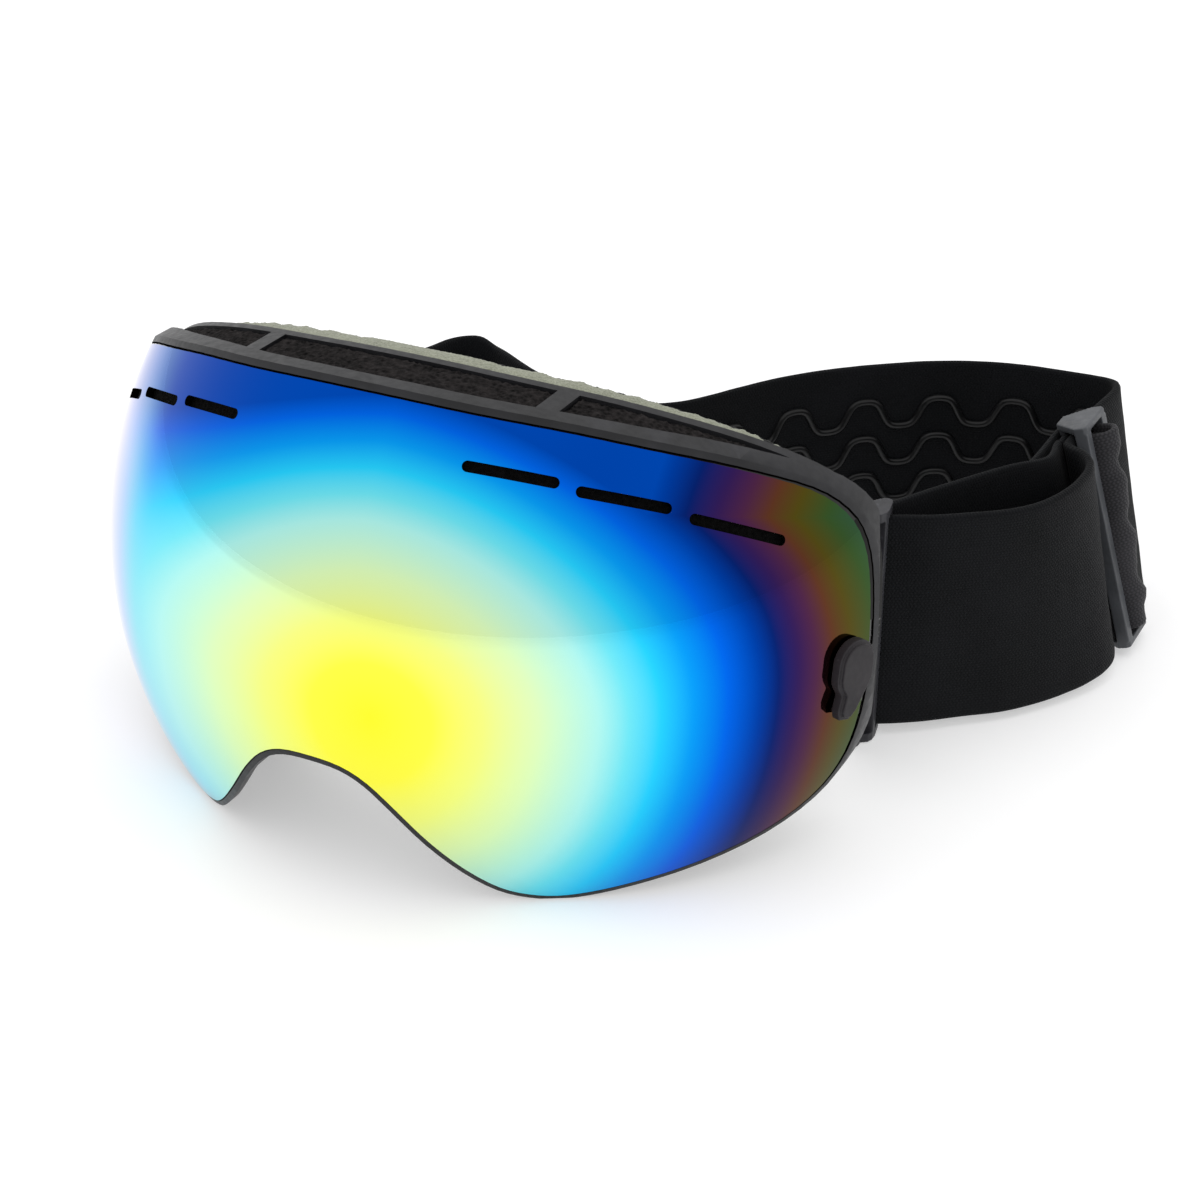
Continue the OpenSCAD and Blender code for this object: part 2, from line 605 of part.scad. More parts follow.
module grip_waves() color(grip_black)
    for (row = [0 : grip_rows - 1])
        polyhedron(points = [for (i = [0 : len(grip_curve) - 1]) each grip_ring(i, row)],
            faces = tube_faces(len(grip_curve), 4));

// Stitched bars across the free ends of the folded webbing.
module tack_bars(x, y)
    for (z = [-18, -6, 6, 18]) translate([x, y + hem_thickness / 2 + 0.02, z - 4]) cube([2, 0.35, 8]);
module bar_tacks_right() color([0.1, 0.1, 0.1]) at_adjuster() tack_bars(-16.5, hem_inner);
module bar_tacks_left() color([0.1, 0.1, 0.1]) at_left_seam() tack_bars(2, 2);

place() frame();
place() outer_lens();
place() inner_lens();
place() lens_gasket();
place() slot_filters();
place() top_vent_foam();
place() bottom_vent_foam();
place() face_foam();
place() face_fleece();
place() arm_right();
place() arm_left();
place() arm_screws();
place() buckle_right();
place() buckle_left();
place() buckle_pin_right();
place() buckle_pin_left();
place() latch();
place() latch_stem();
place() strap_band();
place() strap_wrap_right();
place() strap_wrap_left();
place() strap_return_right();
place() strap_return_left();
place() adjuster();
place() strap_hem();
place() strap_fold();
place() grip_waves();
place() bar_tacks_right();
place() bar_tacks_left();
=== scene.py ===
"""Ski goggles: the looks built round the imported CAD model. Metres, +Z up, lens towards -Y."""

import json
from math import cos, pi, radians, sin, sqrt

import bmesh
import bpy
import numpy as np
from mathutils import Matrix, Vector, noise

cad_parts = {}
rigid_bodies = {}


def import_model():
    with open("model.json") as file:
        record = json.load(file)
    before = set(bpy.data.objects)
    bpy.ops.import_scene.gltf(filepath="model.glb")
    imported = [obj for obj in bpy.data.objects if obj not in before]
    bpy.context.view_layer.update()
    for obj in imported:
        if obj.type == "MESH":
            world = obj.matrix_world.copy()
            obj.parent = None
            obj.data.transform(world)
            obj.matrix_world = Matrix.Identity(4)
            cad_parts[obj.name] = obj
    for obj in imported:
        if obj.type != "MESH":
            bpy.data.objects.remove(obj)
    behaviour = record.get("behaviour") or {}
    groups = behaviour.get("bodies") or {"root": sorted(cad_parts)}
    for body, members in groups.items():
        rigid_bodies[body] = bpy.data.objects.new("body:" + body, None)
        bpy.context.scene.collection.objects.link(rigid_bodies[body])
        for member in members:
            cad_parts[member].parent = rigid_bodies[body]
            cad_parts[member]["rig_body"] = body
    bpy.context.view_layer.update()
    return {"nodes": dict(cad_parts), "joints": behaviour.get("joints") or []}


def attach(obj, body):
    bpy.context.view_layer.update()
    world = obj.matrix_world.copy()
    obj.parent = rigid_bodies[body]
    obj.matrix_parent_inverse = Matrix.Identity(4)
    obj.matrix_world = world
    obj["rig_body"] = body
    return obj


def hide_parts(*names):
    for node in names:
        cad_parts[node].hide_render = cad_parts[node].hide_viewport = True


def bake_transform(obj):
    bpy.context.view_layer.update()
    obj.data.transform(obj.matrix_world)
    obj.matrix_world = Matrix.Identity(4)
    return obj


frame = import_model()
NODES = frame["nodes"]
JOINTS = {j["name"]: j for j in frame["joints"]}
SCENE = bpy.context.scene

# The lens is part of a sphere. Its centre follows from the latch joint, whose axis is the sphere's radius.
LENS_RADIUS = 0.091
LATCH = JOINTS["latch_turn"]
CENTRE = np.array(LATCH["pos_m"]) - LENS_RADIUS * np.array(LATCH["axis"])
MM = 0.001


def at(x, y, z):
    """A point given in millimetres from the lens sphere's centre, in the row frame."""
    return CENTRE + MM * np.array([x, y, z], float)


# ---------------------------------------------------------------- camera
AZIMUTH, ELEVATION = radians(27.31), radians(28.44)
BACK = Vector((sin(AZIMUTH) * cos(ELEVATION), -cos(AZIMUTH) * cos(ELEVATION), sin(ELEVATION)))
camera = bpy.data.objects.new("camera", bpy.data.cameras.new("camera"))
camera.data.sensor_width = 36
camera.data.lens = 69.4
camera.data.clip_start = 0.01
camera.data.clip_end = 50
camera.location = at(216.6, -391.4, 224.5)
camera.rotation_mode = "QUATERNION"
camera.rotation_quaternion = (-BACK).to_track_quat("-Z", "Y")
SCENE.collection.objects.link(camera)
SCENE.camera = camera
SCENE.view_settings.view_transform = "Standard"
SCENE.view_settings.look = "None"


# ---------------------------------------------------------------- node helpers
def linear(r, g, b):
    """An sRGB colour from 0 to 255 as linear RGBA."""
    def one(c):
        c /= 255
        return c / 12.92 if c <= 0.04045 else ((c + 0.055) / 1.055) ** 2.4
    return (one(r), one(g), one(b), 1.0)


class Shader:
    """A small helper round one material's node tree."""

    def __init__(self, name, **sockets):
        self.material = bpy.data.materials.new(name)
        self.material.use_nodes = True
        self.tree = self.material.node_tree
        self.principled = self.tree.nodes["Principled BSDF"]
        for key, value in sockets.items():
            self.principled.inputs[key.replace("_", " ")].default_value = value

    def node(self, kind, inputs=None, **settings):
        """A new node. An input given as a socket is linked, and any other is set."""
        made = self.tree.nodes.new(kind)
        for key, value in settings.items():
            setattr(made, key, value)
        for key, value in (inputs or {}).items():
            if isinstance(value, bpy.types.NodeSocket):
                self.tree.links.new(value, made.inputs[key])
            else:
                made.inputs[key].default_value = value
        return made

    def math(self, operation, a, b=None):
        inputs = {0: a} if b is None else {0: a, 1: b}
        return self.node("ShaderNodeMath", inputs, operation=operation).outputs[0]

    def add(self, a, b):
        return self.math("ADD", a, b)

    def less(self, a, b):
        return self.math("SUBTRACT", a, b)

    def times(self, a, b):
        return self.math("MULTIPLY", a, b)

    def positive(self, a):
        return self.math("MAXIMUM", a, 0.0)

    def place(self):
        return self.node("ShaderNodeTexCoord").outputs["Object"]

    def axes(self, vector):
        return self.node("ShaderNodeSeparateXYZ", {"Vector": vector}).outputs

    def noise(self, scale, detail, rough=0.55):
        inputs = {"Vector": self.place(), "Scale": scale, "Detail": detail, "Roughness": rough}
        return self.node("ShaderNodeTexNoise", inputs).outputs["Fac"]

    def span(self, value, low, high, to_low, to_high, smooth=False):
        """Maps one range of numbers to another and stays within it."""
        kind = "SMOOTHSTEP" if smooth else "LINEAR"
        inputs = {"Value": value, "From Min": low, "From Max": high, "To Min": to_low, "To Max": to_high}
        return self.node("ShaderNodeMapRange", inputs, interpolation_type=kind).outputs["Result"]

    def uneven(self, scale, detail, low, high):
        """A number that wanders from place to place between two values."""
        return self.span(self.noise(scale, detail), 0.3, 0.7, low, high)

    def mix(self, factor, a, b, blend="MIX"):
        inputs = {0: factor, 6: a, 7: b}
        return self.node("ShaderNodeMix", inputs, data_type="RGBA", blend_type=blend).outputs[2]

    def clouds(self, scale, detail, dark, light):
        """Two colours in soft clouds."""
        return self.mix(self.span(self.noise(scale, detail), 0.35, 0.65, 0.0, 1.0), dark, light)

    def ramp(self, value, bands):
        """Colours from a list of (position, sRGB colour)."""
        made = self.node("ShaderNodeValToRGB", {"Fac": value})
        stops = made.color_ramp.elements
        while len(stops) > 1:
            stops.remove(stops[-1])
        stops[0].position, stops[0].color = bands[0][0], linear(*bands[0][1])
        for position, colour in bands[1:]:
            stops.new(position).color = linear(*colour)
        return made.outputs["Color"]

    def set(self, name, socket):
        self.tree.links.new(socket, self.principled.inputs[name])

    def bump(self, height, strength, distance, before=None):
        inputs = {"Height": height, "Strength": strength, "Distance": distance}
        if before is not None:
            inputs["Normal"] = before
        return self.node("ShaderNodeBump", inputs).outputs["Normal"]


# ---------------------------------------------------------------- materials
RIB_PITCH, WEFT_PITCH = 1.25, 0.8   # webbing, in millimetres
THREAD_PITCH = 0.0005
EDGE_PALING = 1.9                          # how much paler a sharp convex edge is


def plastic(name, dark, light, rough, grain=0.10):
    """Moulded plastic: mottled colour, paler sharp convex edges, fine spark-eroded grain."""
    s = Shader(name, Specular_IOR_Level=0.28)
    body = s.clouds(90, 4, dark, light)
    # Paler on sharp convex edges, found by pointiness.
    pale_edges = s.span(s.node("ShaderNodeNewGeometry").outputs["Pointiness"], 0.52, 0.62, 0.0, 0.55)
    s.set("Base Color", s.mix(pale_edges, body, [min(1, c * EDGE_PALING) for c in light[:3]] + [1]))
    s.set("Roughness", s.uneven(700, 5, rough - 0.06, rough + 0.08))
    fine = s.bump(s.noise(5200, 2), grain, 0.00006)
    s.set("Normal", s.bump(s.noise(160, 3), 0.08, 0.0003, fine))
    return s.material


def webbing(name, dark, light, sheen):
    """Elastic webbing: ribs along the strap, a fine weft across it and a little fuzz."""
    s = Shader(name, Sheen_Weight=sheen, Sheen_Roughness=0.45, Specular_IOR_Level=0.12)
    weave = s.axes(s.node("ShaderNodeAttribute", attribute_name="weave").outputs["Vector"])
    along, across = weave["X"], weave["Y"]
    rib = s.math("SINE", s.times(across, 2 * pi / RIB_PITCH))
    step = s.times(s.math("SIGN", rib), 0.25)
    weft = s.math("SINE", s.times(s.add(along, step), 2 * pi / WEFT_PITCH))
    height = s.add(s.times(s.math("ABSOLUTE", rib), 0.6), s.times(weft, 0.4))
    fuzz = s.noise(2600, 4)
    cloud = s.noise(55, 3)
    shade = s.span(s.add(s.times(height, 0.35), s.times(cloud, 0.8)), 0.2, 0.9, 0.0, 1.0)
    s.set("Base Color", s.mix(shade, dark, light))
    s.set("Roughness", s.span(fuzz, 0.3, 0.7, 0.68, 0.9))
    rough = s.bump(fuzz, 0.35, 0.00012)
    s.set("Normal", s.bump(height, 0.55, 0.00016, rough))
    return s.material


def foam(name, dark, light, cell, depth, sheen, contrast=1.0):
    """Foam or fleece: cells at one scale, clumps at another, and a soft sheen."""
    s = Shader(name, Sheen_Weight=sheen, Sheen_Roughness=0.6, Roughness=0.95, Specular_IOR_Level=0.1)
    cells = s.node("ShaderNodeTexVoronoi", {"Vector": s.place(), "Scale": cell}).outputs["Distance"]
    clump = s.noise(cell * 0.12, 4, 0.65)
    fine = s.noise(cell * 0.8, 5, 0.7)
    shade = s.add(s.times(cells, 0.45), s.times(s.add(clump, fine), 0.4))
    middle, reach = 0.62, 0.3 * contrast
    s.set("Base Color", s.mix(s.span(shade, middle - reach, middle + reach, 0.0, 1.0), dark, light))
    tufts = s.bump(fine, 0.6, depth)
    s.set("Normal", s.bump(cells, 0.5, depth, tufts))
    return s.material


# The coating's colours by distance from its yellow middle, and a painted pale reflection of a bright light
# across the flank on the -X side.
LENS_BANDS = [
    (0.00, (255, 248, 50)), (0.13, (254, 250, 72)), (0.23, (243, 252, 130)), (0.33, (221, 251, 188)),
    (0.43, (176, 244, 236)), (0.48, (112, 230, 244)), (0.53, (40, 210, 254)), (0.58, (10, 158, 246)),
    (0.63, (2, 102, 233)), (0.675, (0, 62, 165)), (0.70, (8, 34, 110)), (0.725, (52, 30, 88)),
    (0.745, (78, 38, 72)), (0.765, (96, 54, 36)), (0.785, (84, 74, 22)), (0.81, (54, 84, 40)),
    (0.85, (44, 88, 74))]
# Painted reflection: pale violet colours of a bright light, mirrored on the -X flank.
PAINTED_REFLECTION_BANDS = [
    (0.06, (110, 205, 236)), (0.17, (150, 180, 244)), (0.30, (200, 203, 246)),
    (0.45, (212, 208, 246)), (0.60, (165, 198, 243)), (0.75, (122, 216, 232))]
YELLOW_X, YELLOW_Z = 0.15, 0.05     # the yellow middle, in lens radii from the sphere's centre
LEFT_REACH, LEFT_EASE = 0.72, 0.65  # how far the bands get on the -X side, and how soon they slow down
COAT_SHADE = (0.9, 0.9, 0.9, 1)


def lens_coat():
    """Mirror coating, its colours fixed to places on the lens: yellow low in the middle, then mint, cyan,
    blue, purple and olive towards the temple, blue towards the brow, and a painted pale violet
    reflection on the flank at -X."""
    s = Shader("lens_coat", Metallic=1.0)
    place = s.axes(s.place())
    x = s.span(place["X"], CENTRE[0] - LENS_RADIUS, CENTRE[0] + LENS_RADIUS, -1.0, 1.0)
    z = s.span(place["Z"], CENTRE[2] - LENS_RADIUS, CENTRE[2] + LENS_RADIUS, -1.0, 1.0)
    dx, dz = s.less(x, YELLOW_X), s.less(z, YELLOW_Z)
    right = s.positive(dx)
    away = s.positive(s.times(dx, -1.0))
    left = s.times(s.less(1.0, s.math("EXPONENT", s.times(away, -1 / LEFT_EASE))), LEFT_REACH)
    up = s.times(s.positive(dz), s.span(x, 0.1, 0.6, 1.1, 1.2))
    down = s.times(s.positive(s.times(dz, -1.0)), s.span(x, -0.4, 0.3, 0.62, 0.9))
    sideways, upright = s.add(right, left), s.add(up, down)
    reach = s.math("SQRT", s.add(s.times(sideways, sideways), s.times(upright, upright)))
    # Near the brow the distance sideways holds the reach back, so that the bands run down to the temple.
    limit = s.add(s.span(x, 0.60, 0.93, 0.665, 0.85), s.span(z, 0.05, 0.35, 0.15, 0.0))
    swirl = s.times(s.less(s.noise(14, 2, 0.4), 0.5), 0.035)
    main = s.ramp(s.add(s.math("MINIMUM", reach, limit), swirl), LENS_BANDS)
    # Painted reflection: pale violet colours of a bright light, mixed over the -X flank and weaker towards
    # the brow.
    painted_reflection = s.ramp(s.span(x, -1.0, -0.4, 0.0, 1.0), PAINTED_REFLECTION_BANDS)
    below = s.span(z, 0.30, 0.55, 1.0, 0.30, smooth=True)
    share = s.times(s.span(x, -0.48, -0.66, 0.0, 0.95, smooth=True), below)
    s.set("Base Color", s.mix(1.0, s.mix(share, main, painted_reflection), COAT_SHADE, "MULTIPLY"))
    s.set("Roughness", s.span(s.noise(2400, 2), 0.55, 0.8, 0.028, 0.07))
    s.set("Normal", s.bump(s.noise(60, 2), 0.012, 0.0005))
    return s.material


def smoke():
    """The lens's dark back and edge."""
    s = Shader("lens_back_smoke", Roughness=0.04, Specular_IOR_Level=0.15)
    s.set("Base Color", s.clouds(30, 2, linear(5, 4, 4), linear(12, 10, 8)))
    s.set("Roughness", s.uneven(180, 3, 0.03, 0.06))
    return s.material


def clear():
    """The lightly tinted inner lens."""
    s = Shader("inner_lens_clear", Transmission_Weight=1.0, IOR=1.49, Roughness=0.03)
    s.set("Base Color", s.clouds(25, 2, linear(176, 166, 154), linear(196, 188, 178)))
    s.set("Roughness", s.uneven(180, 3, 0.02, 0.045))
    return s.material


def silicone():
    """Printed rubber beads."""
    s = Shader("grip_silicone", Coat_Weight=0.15, Coat_Roughness=0.2, Specular_IOR_Level=0.25)
    s.set("Base Color", s.clouds(300, 3, linear(7, 7, 8), linear(16, 16, 17)))
    s.set("Roughness", s.uneven(900, 3, 0.28, 0.45))
    s.set("Normal", s.bump(s.noise(500, 2), 0.15, 0.0002))
    return s.material


def metal():
    """Blackened steel."""
    s = Shader("screw_black", Metallic=0.8)
    s.set("Base Color", s.clouds(900, 3, linear(40, 40, 42), linear(76, 76, 80)))
    s.set("Roughness", s.uneven(1800, 3, 0.3, 0.5))
    return s.material


def thread():
    """Sewn thread with its twist."""
    s = Shader("tack_thread", Roughness=0.8, Sheen_Weight=0.3)
    turns = s.math("SINE", s.times(s.axes(s.place())["Z"], 2 * pi / THREAD_PITCH))
    s.set("Base Color", s.mix(s.span(turns, -1, 1, 0, 1), linear(16, 16, 17), linear(44, 44, 46)))
    s.set("Normal", s.bump(turns, 0.6, 0.0001))
    return s.material


GREY_RIM = plastic("rim_plastic", linear(20, 20, 22), linear(29, 29, 32), 0.42)
GREY_PART = plastic("buckle_plastic", linear(36, 36, 40), linear(47, 47, 51), 0.42, 0.14)
WARM_LATCH = plastic("latch_plastic", linear(31, 28, 31), linear(40, 37, 40), 0.52, 0.22)
ADJUSTER = plastic("adjuster_plastic", linear(58, 60, 63), linear(72, 74, 78), 0.44, 0.16)
STRAP = webbing("strap_webbing", linear(3, 4, 5), linear(17, 18, 21), 0.02)
SPARE = webbing("spare_webbing", linear(26, 26, 28), linear(60, 59, 62), 0.08)
LIGHT_FOAM = foam("face_foam_olive", linear(104, 106, 91), linear(150, 153, 134), 2600, 0.00016, 0.25)
DARK_FLEECE = foam("fleece_black", linear(14, 14, 14), linear(44, 44, 44), 2300, 0.0002, 0.1)
VENT_FOAM = foam("vent_foam_charcoal", linear(2, 2, 2), linear(44, 41, 41), 900, 0.0005, 0.0, 0.8)
SLOT_FOAM = foam("slot_foam_black", linear(1, 1, 1), linear(16, 15, 15), 1300, 0.0004, 0.0, 0.9)
GASKET = foam("gasket_foam", linear(12, 12, 12), linear(34, 34, 34), 1600, 0.0002, 0.2)
LENS_COAT, SMOKE, CLEAR = lens_coat(), smoke(), clear()
SILICONE, METAL, THREAD = silicone(), metal(), thread()


# ---------------------------------------------------------------- mesh helpers
WELD = 2e-6


def new_piece(name, points, faces, material):
    mesh = bpy.data.meshes.new(name)
    mesh.from_pydata([tuple(map(float, p)) for p in points], [], [list(map(int, f)) for f in faces])
    mesh.validate()
    made = bpy.data.objects.new(name, mesh)
    SCENE.collection.objects.link(made)
    made.data.materials.append(material)
    return made


def piece_from(node, name, material):
    """A new piece with the welded points and faces of a CAD node."""
    bm = bmesh.new()
    bm.from_mesh(NODES[node].data)
    bmesh.ops.remove_doubles(bm, verts=bm.verts, dist=WELD)
    points = [v.co.copy() for v in bm.verts]
    faces = [[v.index for v in f.verts] for f in bm.faces]
    bm.free()
    return new_piece(name, points, faces, material)


def take_place(made, node):
    """The piece replaces a CAD node and rides on that node's body."""
    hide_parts(node)
    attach(made, NODES[node]["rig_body"])


def settle(obj):
    """Replaces the object's mesh by what its modifiers make of it."""
    graph = bpy.context.evaluated_depsgraph_get()
    mesh = bpy.data.meshes.new_from_object(obj.evaluated_get(graph))
    obj.modifiers.clear()
    obj.data = mesh


def remesh(obj, voxel, rounds, keep=1.0):
    """Rebuilds the surface in voxels, rounds its edges and thins it to a share of its faces."""
    made = obj.modifiers.new("remesh", "REMESH")
    made.mode = "VOXEL"
    made.voxel_size = voxel
    soft = obj.modifiers.new("soften", "SMOOTH")
    soft.factor = 0.5
    soft.iterations = rounds
    if keep < 1:
        thin = obj.modifiers.new("thin", "DECIMATE")
        thin.ratio = keep
    settle(obj)
    obj.data.shade_smooth()


def outward(obj, sharp):
    """Turns a closed mesh's faces outwards and shades it smooth up to an angle in degrees."""
    bm = bmesh.new()
    bm.from_mesh(obj.data)
    bmesh.ops.recalc_face_normals(bm, faces=bm.faces)
    bm.to_mesh(obj.data)
    bm.free()
    obj.data.shade_smooth()
    obj.data.set_sharp_from_angle(angle=radians(sharp))


def tube_faces(count, ring, base=0):
    """Quads between closed rings of points, from point number base."""
    faces = []
    for i in range(count - 1):
        near, far = base + i * ring, base + (i + 1) * ring
        for j in range(ring):
            k = (j + 1) % ring
            faces.append([near + j, near + k, far + k, far + j])
    return faces


def read_points(mesh, what="co"):
    out = np.zeros(len(mesh.vertices) * 3, np.float32)
    mesh.vertices.foreach_get(what, out)
    return out.reshape(-1, 3).astype(float)


def set_points(mesh, co):
    mesh.vertices.foreach_set("co", co.astype(np.float32).ravel())
    mesh.update()


def roughen(obj, scale, amount):
    """Moves points along their normals by noise at two scales, so that a soft surface looks ragged."""
    mesh = obj.data
    co, n = read_points(mesh), read_points(mesh, "normal")
    shift = np.zeros(len(co))
    for k in range(2):
        f = scale * 2 ** k
        shift += np.array([noise.noise(Vector(p) * f) for p in co]) / 2 ** k
    set_points(mesh, co + n * (amount * shift)[:, None])


CLOTH_FRAMES = 18


def puff(obj, cap, pressure):
    """Cloth with a little pressure inside, off gravity, and no point moves further than cap."""
    rest = read_points(obj.data)
    cloth = obj.modifiers.new("cloth", "CLOTH")
    cloth.settings.quality = 5
    cloth.settings.mass = 0.3
    cloth.settings.tension_stiffness = 30
    cloth.settings.compression_stiffness = 30
    cloth.settings.bending_stiffness = 2
    cloth.settings.use_pressure = True
    cloth.settings.uniform_pressure_force = pressure
    cloth.settings.effector_weights.gravity = 0
    cloth.point_cache.frame_start = 1
    cloth.point_cache.frame_end = CLOTH_FRAMES
    for f in range(1, CLOTH_FRAMES + 1):
        SCENE.frame_set(f)
    settle(obj)
    SCENE.frame_set(1)
    moved = read_points(obj.data) - rest
    far = np.linalg.norm(moved, axis=1)
    share = np.where(far > cap, cap / np.maximum(far, 1e-9), 1.0)
    set_points(obj.data, rest + moved * share[:, None])


# ---------------------------------------------------------------- rigid parts
KEEP = 0.4          # share of the faces that a moulded part keeps
BEVEL_ANGLE, SHARP_ANGLE = radians(38), radians(48)


def moulded(node, name, material, voxel, rounds):
    """A CAD part with softly rounded edges, as moulded plastic has."""
    made = piece_from(node, name, material)
    remesh(made, voxel * (1.0), rounds, KEEP)
    take_place(made, node)


def bevelled(node, name, material, width):
    """A CAD part with its sharp edges broken by a narrow two-step bevel."""
    made = piece_from(node, name, material)
    edge = made.modifiers.new("edge", "BEVEL")
    edge.width = width
    edge.segments = 2
    edge.limit_method = "ANGLE"
    edge.angle_limit = BEVEL_ANGLE
    edge.use_clamp_overlap = True
    settle(made)
    made.data.shade_smooth()
    made.data.set_sharp_from_angle(angle=SHARP_ANGLE)
    even = made.modifiers.new("even", "WEIGHTED_NORMAL")
    even.keep_sharp = True
    settle(made)
    take_place(made, node)


bevelled("frame", "frame_shell", GREY_RIM, 0.00022)
for side in ("right", "left"):
    moulded(f"arm_{side}", f"temple_arm_{side}", GREY_PART, 0.0003, 2)
    moulded(f"buckle_{side}", f"swivel_buckle_{side}", GREY_PART, 0.00016, 2)
    moulded(f"buckle_pin_{side}", f"hinge_pin_{side}", GREY_PART, 0.00014, 1)
moulded("latch", "lens_latch", WARM_LATCH, 0.00015, 3)
moulded("adjuster", "strap_slider", ADJUSTER, 0.00022, 3)

# CAD parts that show as they are, with a better material.
CARRIED_OVER = {"latch_stem": WARM_LATCH, "arm_screws": METAL, "inner_lens": CLEAR, "lens_gasket": GASKET,
                "bar_tacks_right": THREAD, "bar_tacks_left": THREAD}
for node, material in CARRIED_OVER.items():
    NODES[node].data.materials.clear()
    NODES[node].data.materials.append(material)


# ---------------------------------------------------------------- outer lens
SPHERICAL = 0.96        # how nearly a face's normal has to follow the radius to count as spherical
SKIN_DEPTH = 0.0003     # how near the sphere a coated face has to lie


def lens_piece():
    """The lens with exact sphere normals, so that what it mirrors stays smooth."""
    made = piece_from("outer_lens", "lens_skin", LENS_COAT)
    made.data.materials.append(SMOKE)
    mesh = made.data
    mesh.shade_smooth()
    co = read_points(mesh) - CENTRE
    far = np.linalg.norm(co, axis=1)
    custom = []
    for face in mesh.polygons:
        mid = np.mean([co[v] for v in face.vertices], axis=0)
        facing = float(np.dot(face.normal, mid / np.linalg.norm(mid)))
        spherical = abs(facing) > SPHERICAL
        front = spherical and abs(np.linalg.norm(mid) - LENS_RADIUS) < SKIN_DEPTH
        face.material_index = 0 if front else 1
        for v in face.vertices:
            if spherical:
                custom.append(tuple(co[v] / far[v] * (1 if facing > 0 else -1)))
            else:
                custom.append(tuple(face.normal))
    mesh.normals_split_custom_set(custom)
    take_place(made, "outer_lens")


lens_piece()


# ---------------------------------------------------------------- foams
def soft_part(node, name, material, voxel, rounds, levels, scale, amount, swell=None):
    """A foam or fleece part: remeshed, puffed where swell gives (cap, pressure), divided and roughened."""
    made = piece_from(node, name, material)
    remesh(made, voxel, rounds)
    if swell is not None:
        puff(made, *swell)
    divide = made.modifiers.new("levels", "SUBSURF")
    divide.levels = divide.render_levels = levels - 0
    settle(made)
    made.data.shade_smooth()
    roughen(made, scale, amount)
    take_place(made, node)


soft_part("face_foam", "foam_ring", LIGHT_FOAM, 0.0011, 6, 2, 2400, 0.00014, (0.0005, 3.0))
soft_part("face_fleece", "fleece_ring", DARK_FLEECE, 0.0005, 4, 1, 2600, 0.00012)
soft_part("top_vent_foam", "vent_foam_top", VENT_FOAM, 0.0006, 1, 1, 1500, 0.0003)
soft_part("bottom_vent_foam", "vent_foam_bottom", VENT_FOAM, 0.0006, 1, 1, 1500, 0.0003)
soft_part("slot_filters", "slot_foam", SLOT_FOAM, 0.0005, 1, 1, 1500, 0.0002)


# ---------------------------------------------------------------- webbing
# Lengths in this section are in millimetres from the lens sphere's centre until at() turns them into metres.
# A stop of the strap's route is [top x, top y, low x, low y, low z]: where its upper and lower edge pass.
WIDTH = 50.0
BAND_T, RETURN_T = 1.75, 1.4        # thickness of the band and of the folded runs
LEAN = radians(17)                  # of the strap at the adjuster
LEAN_SHIFT = WIDTH * sin(LEAN)
LOW, LIFTED, MIDWAY, REST = -36.3, -35.2, -37.2, -38.5
LEFT_HEADING = radians(12)
RIGHT_SLIDE, LEFT_SEAM = (94.75, 77.5), (-72, 38.3)
RETURN_OFFSET = 1.95                # the return run's distance from the band at the adjuster
RETURN_END = -9                     # where the return run ends, along the adjuster
BAR = np.array([72.6, 16.0])        # the buckle's bar
STEPS = 12                          # stations of a curve from one stop to the next


def right_stop(s, y):
    px, py = RIGHT_SLIDE[0] - y, RIGHT_SLIDE[1] + s
    return [px, py, px + LEAN_SHIFT, py, LIFTED]


def left_stop(s, y):
    px = LEFT_SEAM[0] + s * cos(LEFT_HEADING) + y * sin(LEFT_HEADING)
    py = LEFT_SEAM[1] + s * sin(LEFT_HEADING) - y * cos(LEFT_HEADING)
    return [px, py, px, py, LOW]


def upright(points, z):
    return [[x, y, x, y, z] for x, y in points]


STRAP_STOPS = (
    [[76.8, 15.7, 77.2, 16, -36.3], [82, 18.6, 82.6, 20, -36.4], [88, 23.4, 89, 25.9, -36.6],
     [93.5, 28.4, 95.9, 32, -36.8], [97.9, 33.9, 101, 38.3, -36.9], [100.8, 39.6, 105, 44.2, -36.8],
     [102.7, 46, 108.4, 50, -36.5], [103.4, 53, 110.8, 56, -36.1], [102.6, 59.5, 111.6, 61, -35.7],
     [99.7, 63.7, 110.9, 65, -35.3], [96.6, 66.2, 110.4, 66.6, -35.2]]
    + [right_stop(s, 0) for s in (-9, -7.4, 0, 11, 14)]
    + [[95.6, 97.2, 108.6, 96.4, -35.4], [95.9, 102, 107.6, 100.6, -35.6], [95.2, 105.2, 104.2, 106.4, -36.2],
       [92.9, 107.6, 99.2, 109.9, -37], [89, 109, 92.6, 111, -37.8], [84, 109.8, 85.6, 110.8, -38.4],
       [78.1, 109.5, 78.6, 109.8, -38.5]]
    + upright([[72, 108.8], [66.4, 107.6], [60.5, 105.6], [55.4, 103.2], [50, 100.1], [45.2, 96.7],
               [37.4, 90.4], [30.1, 83.2], [23.4, 75], [17.5, 65.6], [13.5, 58.5], [9.5, 52.6], [4, 48],
               [-4, 45.3], [-13, 45.5], [-22, 48], [-30, 52], [-36.5, 55.8], [-42, 59.3],
               [-46.3, 61.6]], REST)
    + upright([[-50.4, 62.3], [-54, 60.9], [-56.4, 57.2], [-57.8, 52], [-59.6, 46.8],
               [-62.4, 42.4]], MIDWAY)
    + [left_stop(s, 0) for s in (6, 0, -6)]
    + upright([[-82.8, 34.8], [-86.3, 30.6], [-86.8, 25.2], [-83, 19.6], [-76.8, 15.7]], LOW))
